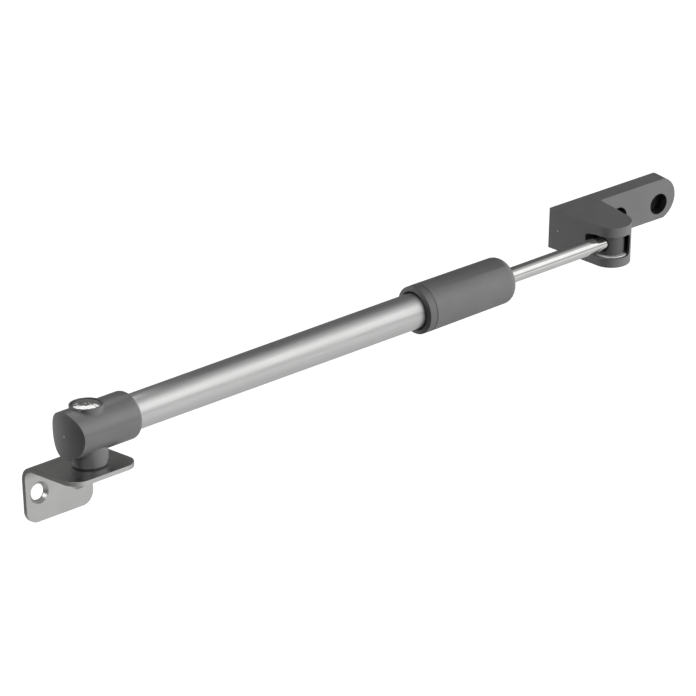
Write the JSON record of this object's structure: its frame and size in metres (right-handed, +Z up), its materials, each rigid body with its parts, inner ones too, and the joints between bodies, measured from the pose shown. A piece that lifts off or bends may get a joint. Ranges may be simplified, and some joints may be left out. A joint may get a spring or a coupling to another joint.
{
  "type": "window stay",
  "caption": "Telescopic window stay: a rod slides in a tube and is clamped by a twist grip, between a pivoting angle bracket for the frame and a forked bracket for the sash.",
  "frame": {"origin": "middle of the two frame screws, on the frame bracket's mounting face", "axes": "+X along the stay from the frame pivot to the sash pivot, +Y into the window frame, +Z up along the frame pivot"},
  "size_m": [0.3775, 0.0412, 0.0565],
  "materials": {
    "stainless_plate": "satin stainless",
    "small_steel": "bright zinc",
    "rivet_chrome": "polished",
    "grey_moulding": "fine moulded grain",
    "tube_aluminium": "satin anodised",
    "clamp_brass": "turned",
    "nylon": "natural",
    "black_rubber": "matt",
    "polished_rod": "polished stainless"
  },
  "bodies": {
    "frame": {"frame_bracket": "stainless_plate", "base_washer": "black_rubber", "pivot_rivet": "rivet_chrome", "rivet_washer": "small_steel"},
    "arm": {"end_cap": "grey_moulding", "pivot_bush": "nylon", "tube": "tube_aluminium", "clamp_body": "clamp_brass", "collet": "nylon", "rod_buffer": "black_rubber", "snap_ring": "small_steel"},
    "grip": {"grip_sleeve": "grey_moulding", "grip_end_ring": "grey_moulding", "tube_wiper": "black_rubber", "rod_wiper": "black_rubber"},
    "wedge": {"wedge_ring": "clamp_brass"},
    "slider": {"piston": "nylon", "piston_ring": "black_rubber"},
    "rod": {"rod": "polished_rod", "piston_clip": "small_steel", "barrel": "grey_moulding"},
    "sash": {"sash_bracket": "grey_moulding", "fork_pin": "small_steel", "fork_washer": "small_steel"}
  },
  "joints": [
    {"name": "arm_swing", "type": "hinge", "parent": "frame", "child": "arm", "pos_m": [0.0014, -0.022, 0.0309], "axis": [0, 0, -1], "range_deg": [-3, 170]},
    {"name": "grip_twist", "type": "hinge", "parent": "arm", "child": "grip", "pos_m": [0.2149, -0.022, 0.0309], "axis": [1, 0, 0], "range_deg": [0, 120]},
    {"name": "wedge_slide", "type": "slide", "parent": "arm", "child": "wedge", "axis": [-1, 0, 0], "range_m": [0, 0.0014]},
    {"name": "rod_slide", "type": "slide", "parent": "arm", "child": "slider", "axis": [1, 0, 0], "range_m": [-0.049, 0.105]},
    {"name": "rod_roll", "type": "hinge", "parent": "slider", "child": "rod", "pos_m": [0.304, -0.022, 0.0309], "axis": [1, 0, 0], "continuous": true},
    {"name": "sash_swing", "type": "hinge", "parent": "rod", "child": "sash", "pos_m": [0.304, -0.022, 0.0309], "axis": [0, -0.1184, 0.993], "range_deg": [-91, 8]}
  ],
  "couplings": [
    {"joint": "grip_twist", "follows": "wedge_slide", "rad_per_m": 1496}
  ]
}
